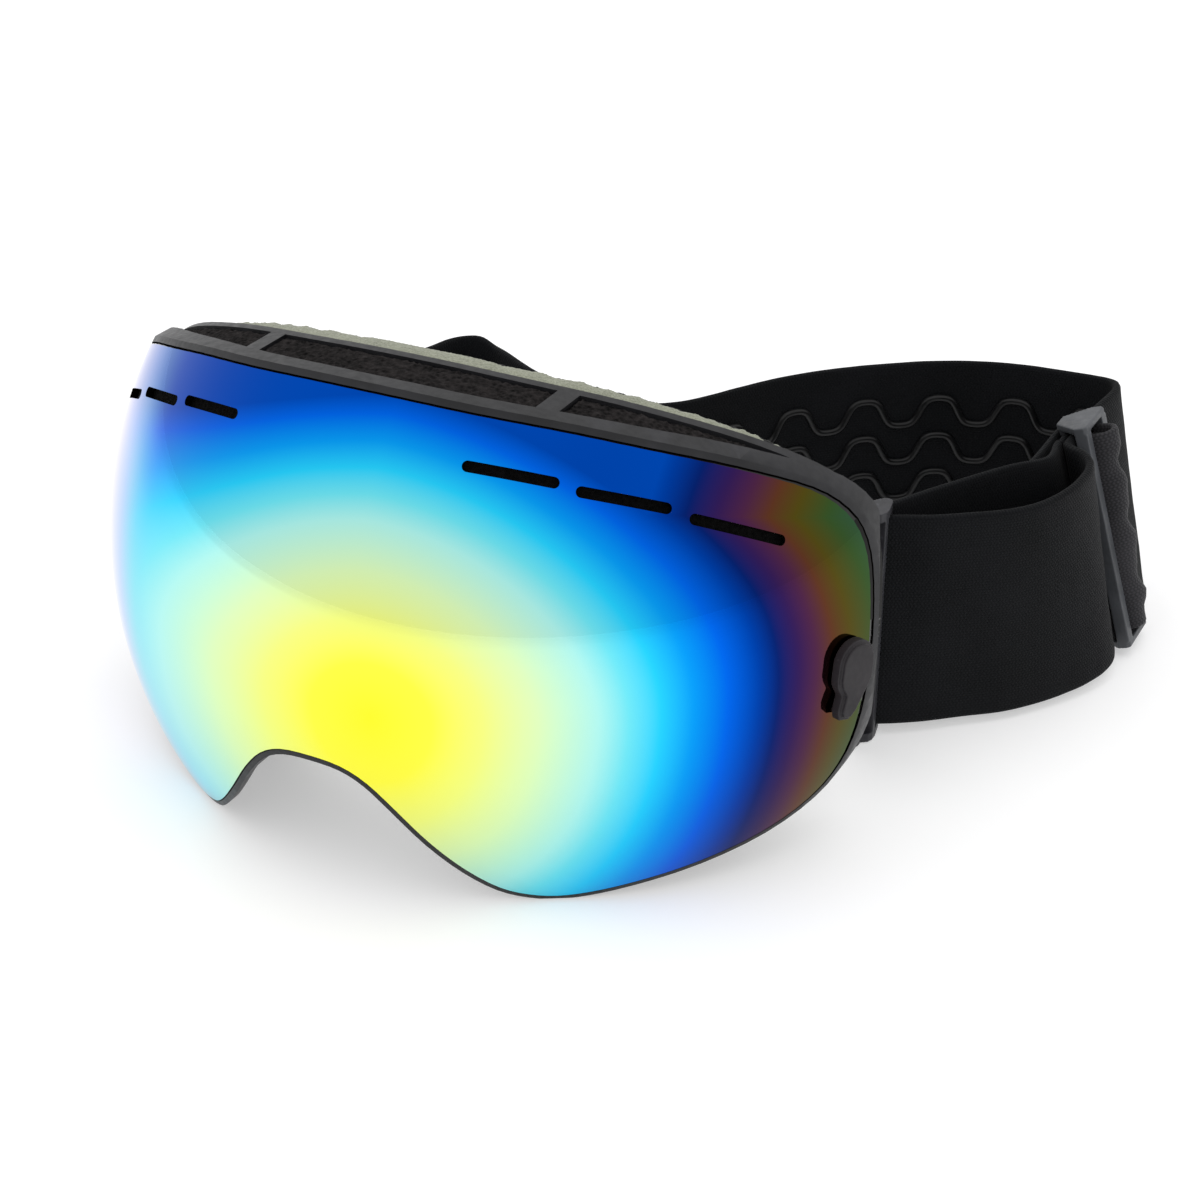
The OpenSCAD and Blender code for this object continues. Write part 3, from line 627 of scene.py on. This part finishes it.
RIGHT_RETURN = [
    [72.6, 21, 72.6, 21, -36.3], [77.6, 30.6, 78.2, 30.7, -36.3], [83, 40, 84.6, 40.2, -36.2],
    [88, 48.4, 92.4, 47.4, -36], [91.6, 54.4, 101, 52.6, -35.8], [93.4, 58.8, 106.2, 57.2, -35.6],
    [93.5, 62.8, 107.6, 62, -35.4], [92.9, 66, 107.5, 65.8, -35.3], right_stop(RETURN_END, RETURN_OFFSET)]
LEFT_RETURN = (upright([[-72.6, 21], [-74.8, 26], [-76.9, 30.2], [-77.6, 32.9], [-76.2, 35]], LOW)
               + [left_stop(s, 2) for s in (-1, 2, 6)])


def spline(stops, n):
    """A smooth curve through the stops, with n stations for each of them."""
    p = np.array(stops, float)
    out = []
    for i in range(len(p) - 1):
        a, b, c, d = p[max(i - 1, 0)], p[i], p[i + 1], p[min(i + 2, len(p) - 1)]
        for t in np.arange(n) / n:
            out.append(0.5 * (2 * b + (c - a) * t + (2 * a - 5 * b + 4 * c - d) * t * t
                              + (3 * b - 3 * c + d - a) * t ** 3))
    out.append(p[-1])
    return np.array(out)


def edges(stops):
    """Lower and upper edge lines of a route, in metres. The strap keeps its width as it leans."""
    low, top = [], []
    for top_x, top_y, low_x, low_y, low_z in spline(stops, STEPS):
        rise = sqrt(WIDTH ** 2 - (top_x - low_x) ** 2 - (top_y - low_y) ** 2)
        low.append(at(low_x, low_y, low_z))
        top.append(at(top_x, top_y, low_z + rise))
    return np.array(low), np.array(top)


def run_of(low, top):
    """A ribbon's length along its middle line."""
    return float(np.sum(np.linalg.norm(np.diff((low + top) / 2, axis=0), axis=1)))


def respace(low, top, gap):
    """The same ribbon with stations a constant distance apart along its middle line."""
    mid = (low + top) / 2
    run = np.concatenate([[0], np.cumsum(np.linalg.norm(np.diff(mid, axis=0), axis=1))])
    want = np.linspace(0, run[-1], max(4, int(round(run[-1] / gap)) + 1))

    def pick(line):
        return np.stack([np.interp(want, run, line[:, k]) for k in range(3)], 1)
    return pick(low), pick(top), want


def unit(v):
    return v / np.linalg.norm(v)


def station(low, top, i):
    """Directions at a station: across the ribbon from its lower edge, and out of its face."""
    j, k = max(i - 1, 0), min(i + 1, len(low) - 1)
    along = unit(low[k] + top[k] - low[j] - top[j])
    across = unit(top[i] - low[i])
    return across, unit(np.cross(across, along))


COLUMNS = 26                                # quads across a ribbon's face
ROUNDING = (pi / 4, pi / 2, 3 * pi / 4)     # points round a selvage
SELVAGE_SWELL, SELVAGE_WIDTH = 0.10, 0.003
BAND_GAP, HEM_GAP, BEAD_GAP = 0.001, 0.0006, 0.0005     # from station to station, in metres
WEB_SHARP, BEAD_SHARP = 65, 70              # edges that stay sharp, in degrees


def cap_faces(base):
    """Faces that close a ribbon's end whose ring of points starts at number base."""
    half = COLUMNS + 1
    back = base + 2 * half + 2
    strip = [[base + k, base + k + 1, back - k - 1, back - k] for k in range(COLUMNS)]
    tip = [base + COLUMNS + k for k in range(5)]
    toe = [back + k for k in range(4)] + [base]
    return strip + [tip, toe]


def ribbon(name, low, top, thick, material, ripple=None, gap=BAND_GAP):
    """Flat webbing with rounded selvages, one closed solid. thick is millimetres, or a function of run."""
    low, top, run = respace(low, top, gap)
    points, weave = [], []
    for i in range(len(low)):
        across, out = station(low, top, i)
        width = np.linalg.norm(top[i] - low[i])
        r = (thick(run[i]) if callable(thick) else thick) * MM / 2
        profile = [(r + (width - 2 * r) * k / COLUMNS, r) for k in range(COLUMNS + 1)]
        profile += [(width - r + r * sin(a), r * cos(a)) for a in ROUNDING]
        profile += [(r + (width - 2 * r) * k / COLUMNS, -r) for k in range(COLUMNS, -1, -1)]
        profile += [(r - r * sin(a), r * cos(a)) for a in ROUNDING[::-1]]
        for v, h in profile:
            lift = h * (1 + SELVAGE_SWELL * max(0.0, 1 - min(v, width - v) / SELVAGE_WIDTH))
            if ripple is not None:
                lift += ripple(run[i], v)
            points.append(low[i] + across * v + out * lift)
            weave.append((run[i] / MM, v / MM, h / MM))
    ring = len(points) // len(low)
    faces = tube_faces(len(low), ring)
    faces += [face[::-1] for face in cap_faces(0)]
    faces += cap_faces((len(low) - 1) * ring)
    made = new_piece(name, points, faces, material)
    outward(made, WEB_SHARP)
    store = made.data.attributes.new("weave", "FLOAT_VECTOR", "POINT")
    store.data.foreach_set("vector", np.array(weave, np.float32).ravel())
    return made


def pucker(amount, seed=0.0):
    """Slight unevenness of elastic webbing, in metres."""
    def shift(run, v):
        broad = noise.noise(Vector((run * 60 + seed, v * 35, 0.3)))
        fine = noise.noise(Vector((run * 220, v * 160, seed)))
        return amount * (broad + 0.4 * fine)
    return shift


band_low, band_top = edges(STRAP_STOPS)
right_low, right_top = edges(RIGHT_RETURN)
left_low, left_top = edges(LEFT_RETURN)

# The webbing round each buckle bar, from the outer layer to the return layer.
BAR_RADIUS, BAR_GAP = 1.3, 0.1
WEB_HALF = 0.9
WRAP_R = BAR_RADIUS + BAR_GAP + WEB_HALF
OUT_TAIL, IN_TAIL = radians(29.5), radians(62.7)
OUT_LENGTH, IN_LENGTH = 2.6, 3.2
WRAP_STEPS = 24
wrap = [BAR + WRAP_R * np.array([sin(OUT_TAIL), -cos(OUT_TAIL)])
        + OUT_LENGTH * np.array([cos(OUT_TAIL), sin(OUT_TAIL)])]
for i in range(WRAP_STEPS + 1):
    a = OUT_TAIL - pi / 2 + (IN_TAIL - OUT_TAIL - pi) * i / WRAP_STEPS
    wrap.append(BAR + WRAP_R * np.array([cos(a), sin(a)]))
wrap.append(BAR + WRAP_R * np.array([-sin(IN_TAIL), cos(IN_TAIL)])
            + IN_LENGTH * np.array([cos(IN_TAIL), sin(IN_TAIL)]))

# Stations where the loops round the buckles end and the rigid runs begin.
BAND_CUT_RIGHT, BAND_CUT_LEFT = 5 * STEPS, len(band_low) - 1 - 3 * STEPS
RETURN_CUT = 3 * STEPS
LEFT_RETURN_CUT = 2 * STEPS
GRADE_RUN = 0.008


def loop(sign, inner, outer):
    """Edge lines of a whole loop: the return run inwards, round the bar, then the band outwards."""
    low = np.array([at(sign * x, y, LOW) for x, y in wrap])
    top = np.array([at(sign * x, y, LOW + WIDTH) for x, y in wrap])
    return (np.concatenate([inner[0][::-1], low[::-1], outer[0]]),
            np.concatenate([inner[1][::-1], top[::-1], outer[1]]))


def grade(turn):
    """Thickness that grows from the return layer's to the band's round the bar."""
    return lambda run: RETURN_T + (BAND_T - RETURN_T) * min(1.0, max(0.0, (run - turn) / GRADE_RUN))


inner = right_low[:RETURN_CUT + 1], right_top[:RETURN_CUT + 1]
outer = band_low[:BAND_CUT_RIGHT + 1], band_top[:BAND_CUT_RIGHT + 1]
loop_right = ribbon("strap_loop_right", *loop(1, inner, outer), grade(run_of(*inner)), STRAP)
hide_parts("strap_wrap_right")
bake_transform(loop_right)

back = slice(BAND_CUT_RIGHT, BAND_CUT_LEFT + 1)
band = ribbon("strap_band_back", band_low[back], band_top[back], BAND_T, STRAP, ripple=pucker(0.00022))
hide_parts("strap_band")
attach(band, "goggles")

inner = left_low[:LEFT_RETURN_CUT + 1], left_top[:LEFT_RETURN_CUT + 1]
outer = band_low[BAND_CUT_LEFT:][::-1], band_top[BAND_CUT_LEFT:][::-1]
loop_left = ribbon("strap_loop_left", *loop(-1, inner, outer), grade(run_of(*inner)), STRAP)
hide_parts("strap_wrap_left")
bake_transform(loop_left)

run_right = ribbon("strap_return_run_right", right_low[RETURN_CUT:], right_top[RETURN_CUT:], RETURN_T, STRAP)
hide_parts("strap_return_right")
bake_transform(run_right)

cut = slice(LEFT_RETURN_CUT, None)
run_left = ribbon("strap_return_run_left", left_low[cut], left_top[cut], RETURN_T, STRAP)
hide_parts("strap_return_left")
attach(run_left, "goggles")


# ---------------------------------------------------------------- webbing at the adjuster
def adjuster_point(x, y, z):
    """From the adjuster's own axes to the row frame: x runs along the strap and y towards the wearer."""
    z -= WIDTH / 2
    y, z = y * cos(LEAN) + z * sin(LEAN), -y * sin(LEAN) + z * cos(LEAN)
    return at(RIGHT_SLIDE[0] - y, RIGHT_SLIDE[1] + x, LIFTED + WIDTH * cos(LEAN) + z)


def adjuster_webbing(name, low_path, top_path, half, material, ripple):
    low = np.array([adjuster_point(x, y, -half) for x, y in low_path])
    top = np.array([adjuster_point(x, y, half) for x, y in top_path])
    made = ribbon(name, low, top, RETURN_T, material, ripple=ripple, gap=HEM_GAP)
    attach(made, "adjuster")
    return made


SLIDER_INNER, SLIDER_CLEAR = 4.15, 0.05
HEM_LAYER, HEM_INNER = RETURN_OFFSET, SLIDER_INNER + SLIDER_CLEAR + RETURN_T / 2
BEND = (HEM_INNER - HEM_LAYER) / 2
hem = [(-8.3, HEM_LAYER), (-5, HEM_LAYER), (-2, HEM_LAYER)]
for a in range(-90, 91, 15):
    hem.append((1.5 + BEND * cos(radians(a)), HEM_LAYER + BEND + BEND * sin(radians(a))))
hem += [(-2, HEM_INNER), (-8, HEM_INNER), (-14, HEM_INNER), (-16.5, HEM_INNER + 0.05),
        (-18.8, HEM_INNER + 0.3)]


def loop_path(half, depth):
    """A narrow loop of webbing standing out through the adjuster, seen from above."""
    return spline([(-half, -2.1), (-half - 0.05, -0.45 * depth), (-0.84 * half, -0.76 * depth),
                   (-0.45 * half, -0.94 * depth), (0.1 * half, -depth), (0.6 * half, -0.92 * depth),
                   (0.92 * half, -0.74 * depth), (half + 0.05, -0.45 * depth), (half, -2.1)], 8)


def wavy(amount, seed, crown_at):
    """The spare webbing's gathers: waves down its height, strongest at the crown of the fold."""
    def shift(run, v):
        crown = max(0.0, 1 - abs(run - crown_at) / (1.1 * crown_at))
        return amount * crown * (sin(v * 480 + seed) + 0.5 * sin(v * 890 + 2 * seed + run * 200)) * 0.6
    return shift


tongue = adjuster_webbing("strap_tongue", hem, hem, WIDTH / 2 - 0.1, STRAP, pucker(0.0001, 3))
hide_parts("strap_hem")
spare = adjuster_webbing("spare_fold", loop_path(3.1, 5.9), loop_path(3.1, 7.6), WIDTH / 2 - 1, SPARE,
                         wavy(0.0011, 1.3, 0.0085))
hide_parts("strap_fold")
adjuster_webbing("spare_core", loop_path(1.5, 4.2), loop_path(1.5, 5.6), WIDTH / 2 - 2.4, SPARE,
                 wavy(0.0006, 2.6, 0.006))

# ---------------------------------------------------------------- silicone grip waves
# Stations of the band where the waves begin, where they are counted from, and where they end.
GRIP_FIRST, GRIP_ORIGIN, GRIP_LAST = 244, 252, 400
GRIP_ROWS, ROW_TOP, ROW_GAP = 4, 0.0374, 0.0097
PITCH, PHASE, SWING, FLATNESS = 0.0185, 0.0141, 0.0034, 1.7
BEAD_HALF, BEAD_PROUD, BEAD_SQUARE, BEAD_STEPS = 0.00085, 0.0009, 0.8, 8
BEAD_SINK = 0.0001


def grip_waves():
    """Four rows of printed beads on the strap's inner face, each a half-round tube."""
    whole = slice(GRIP_FIRST, GRIP_ORIGIN + 1)
    lead = run_of(band_low[whole], band_top[whole])
    cut = slice(GRIP_FIRST, GRIP_LAST + 1)
    low, top, run = respace(band_low[cut], band_top[cut], BEAD_GAP)
    ring = BEAD_STEPS + 1
    points, faces = [], []
    for row in range(GRIP_ROWS):
        line = []
        for i in range(len(low)):
            across, out = station(low, top, i)
            wave = np.tanh(FLATNESS * cos(2 * pi * (run[i] - lead - PHASE) / PITCH)) / np.tanh(FLATNESS)
            height = ROW_TOP - row * ROW_GAP + SWING * wave
            line.append((low[i] + across * height + out * (BAND_T / 2 * MM - BEAD_SINK), out))
        base = len(points)
        for i, (p, out) in enumerate(line):
            ahead = unit(line[min(i + 1, len(line) - 1)][0] - line[max(i - 1, 0)][0])
            across = unit(np.cross(out, ahead))
            for k in range(ring):
                a = pi * k / BEAD_STEPS
                points.append(p + across * (BEAD_HALF * cos(a)) + out * (BEAD_PROUD * sin(a) ** BEAD_SQUARE))
        faces += tube_faces(len(line), ring, base)
        faces.append([base + k for k in range(ring)][::-1])
        faces.append([base + (len(line) - 1) * ring + k for k in range(ring)])
    made = new_piece("silicone_waves", points, faces, SILICONE)
    outward(made, BEAD_SHARP)
    take_place(made, "grip_waves")


grip_waves()


# ---------------------------------------------------------------- floor and light
def floor():
    """A plain white floor that gives a little light of its own, so that it stays pale."""
    size = 4.0
    corners = [(-size, -size, 0), (size, -size, 0), (size, size, 0), (-size, size, 0)]
    made = bpy.data.objects.new("floor", bpy.data.meshes.new("floor"))
    made.data.from_pydata(corners, [], [(0, 1, 2, 3)])
    SCENE.collection.objects.link(made)
    s = Shader("floor_white", Roughness=0.7, Specular_IOR_Level=0.2,
               Emission_Color=(1, 1, 1, 1), Emission_Strength=0.40)
    s.set("Base Color", s.mix(s.uneven(3, 2, 0.0, 1.0), (0.62, 0.62, 0.625, 1), (0.64, 0.64, 0.64, 1)))
    made.data.materials.append(s.material)


def softbox(name, place, target, size, power):
    """A soft rectangular lamp that is not seen in reflections."""
    lamp = bpy.data.objects.new(name, bpy.data.lights.new(name, "AREA"))
    lamp.data.shape = "RECTANGLE"
    lamp.data.size, lamp.data.size_y = size
    lamp.data.energy = power
    lamp.location = place
    lamp.rotation_mode = "QUATERNION"
    lamp.rotation_quaternion = (Vector(target) - Vector(place)).to_track_quat("-Z", "Y")
    lamp.visible_glossy = False
    SCENE.collection.objects.link(lamp)


floor()
world = bpy.data.worlds.new("studio")
SCENE.world = world
world.use_nodes = True
world.node_tree.nodes["Background"].inputs["Color"].default_value = (1.0, 1.0, 1.0, 1)
world.node_tree.nodes["Background"].inputs["Strength"].default_value = 0.97
softbox("softbox_top", (0.1, -0.1, 1.3), (0, 0, 0), (1.6, 1.6), 6)
softbox("softbox_left", (-1.1, -0.7, 0.8), (0, 0, 0.05), (0.9, 1.2), 1.5)
